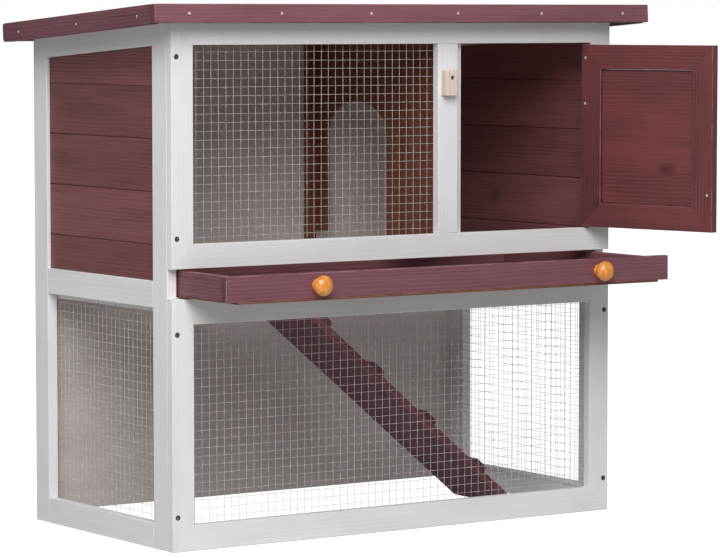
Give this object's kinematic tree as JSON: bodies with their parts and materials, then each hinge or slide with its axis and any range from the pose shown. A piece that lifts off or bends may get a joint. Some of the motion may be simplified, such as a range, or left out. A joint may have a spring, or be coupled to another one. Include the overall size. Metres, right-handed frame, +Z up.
{
  "type": "rabbit hutch",
  "caption": "Two-storey wooden rabbit hutch with wire-fronted run below, boxed rooms above, hinged sleeping-room door, sliding tray, inside ramp and sloping felted roof.",
  "frame": {"origin": "on the ground, under the middle of the whole hutch with its tray drawn out and its door open", "axes": "+X to the right along the front, +Y from the front to the back, +Z up"},
  "size_m": [0.888, 0.6543, 0.789],
  "materials": {
    "white_paint": "satin white paint over pine",
    "red_stain": "satin mahogany-red stain",
    "door_stain": "dark mahogany-red stain",
    "dark_stain": "matt brown-red stain on plywood",
    "bare_wood": "planed bare pine",
    "knob_wood": "clear-varnished orange pine",
    "roofing": "mineral-faced bitumen felt",
    "wire": "galvanised welded wire",
    "steel": "zinc-plated fastener"
  },
  "bodies": {
    "hutch": {"back_fascia": "red_stain", "back_panel": "white_paint", "door_bottom_pin": "steel", "door_stop": "white_paint", "door_top_pin": "steel", "front_fascia": "red_stain", "left_back_stile": "white_paint", "left_bottom_rail": "white_paint", "left_cladding": "red_stain", "left_fascia": "red_stain", "left_front_stile": "white_paint", "left_mid_rail": "white_paint", "left_runner": "white_paint", "left_top_rail": "white_paint", "left_wire": "wire", "living_room_wire": "wire", "lower_front_bottom_rail": "white_paint", "lower_front_left_stile": "white_paint", "lower_front_right_stile": "white_paint", "lower_front_top_rail": "white_paint", "lower_front_wire": "wire", "mullion": "white_paint", "partition": "dark_stain", "partition_batten": "red_stain", "ramp_bearer": "white_paint", "ramp_cleat_1": "red_stain", "ramp_cleat_2": "red_stain", "ramp_cleat_3": "red_stain", "ramp_cleat_4": "red_stain", "ramp_plank": "red_stain", "right_back_stile": "white_paint", "right_bottom_rail": "white_paint", "right_cladding": "red_stain", "right_fascia": "red_stain", "right_front_stile": "white_paint", "right_mid_rail": "white_paint", "right_runner": "white_paint", "right_top_rail": "white_paint", "right_wire": "wire", "roof_board": "bare_wood", "roof_felt": "roofing", "turn_button_screw": "steel", "upper_front_bottom_rail": "white_paint", "upper_front_left_stile": "white_paint", "upper_front_right_stile": "white_paint", "upper_front_top_rail": "white_paint"},
    "door": {"door_hinge_stile": "door_stain", "door_free_stile": "door_stain", "door_top_rail": "door_stain", "door_bottom_rail": "door_stain", "door_panel": "door_stain"},
    "turn_button": {"turn_button": "bare_wood"},
    "tray": {"tray_back": "red_stain", "tray_front": "red_stain", "tray_left": "red_stain", "tray_left_knob": "knob_wood", "tray_right": "red_stain", "tray_right_knob": "knob_wood", "tray_sheet": "dark_stain"}
  },
  "joints": [
    {"name": "door_swing", "type": "hinge", "parent": "hutch", "child": "door", "pos_m": [0.355, -0.0855, 0.587], "axis": [0, 0, 1], "range_deg": [-104, 11]},
    {"name": "turn_button_turn", "type": "hinge", "parent": "hutch", "child": "turn_button", "pos_m": [0.0885, -0.0948, 0.679], "axis": [0, 1, 0], "continuous": true},
    {"name": "tray_slide", "type": "slide", "parent": "hutch", "child": "tray", "axis": [0, -1, 0], "range_m": [-0.1465, 0.18]}
  ]
}
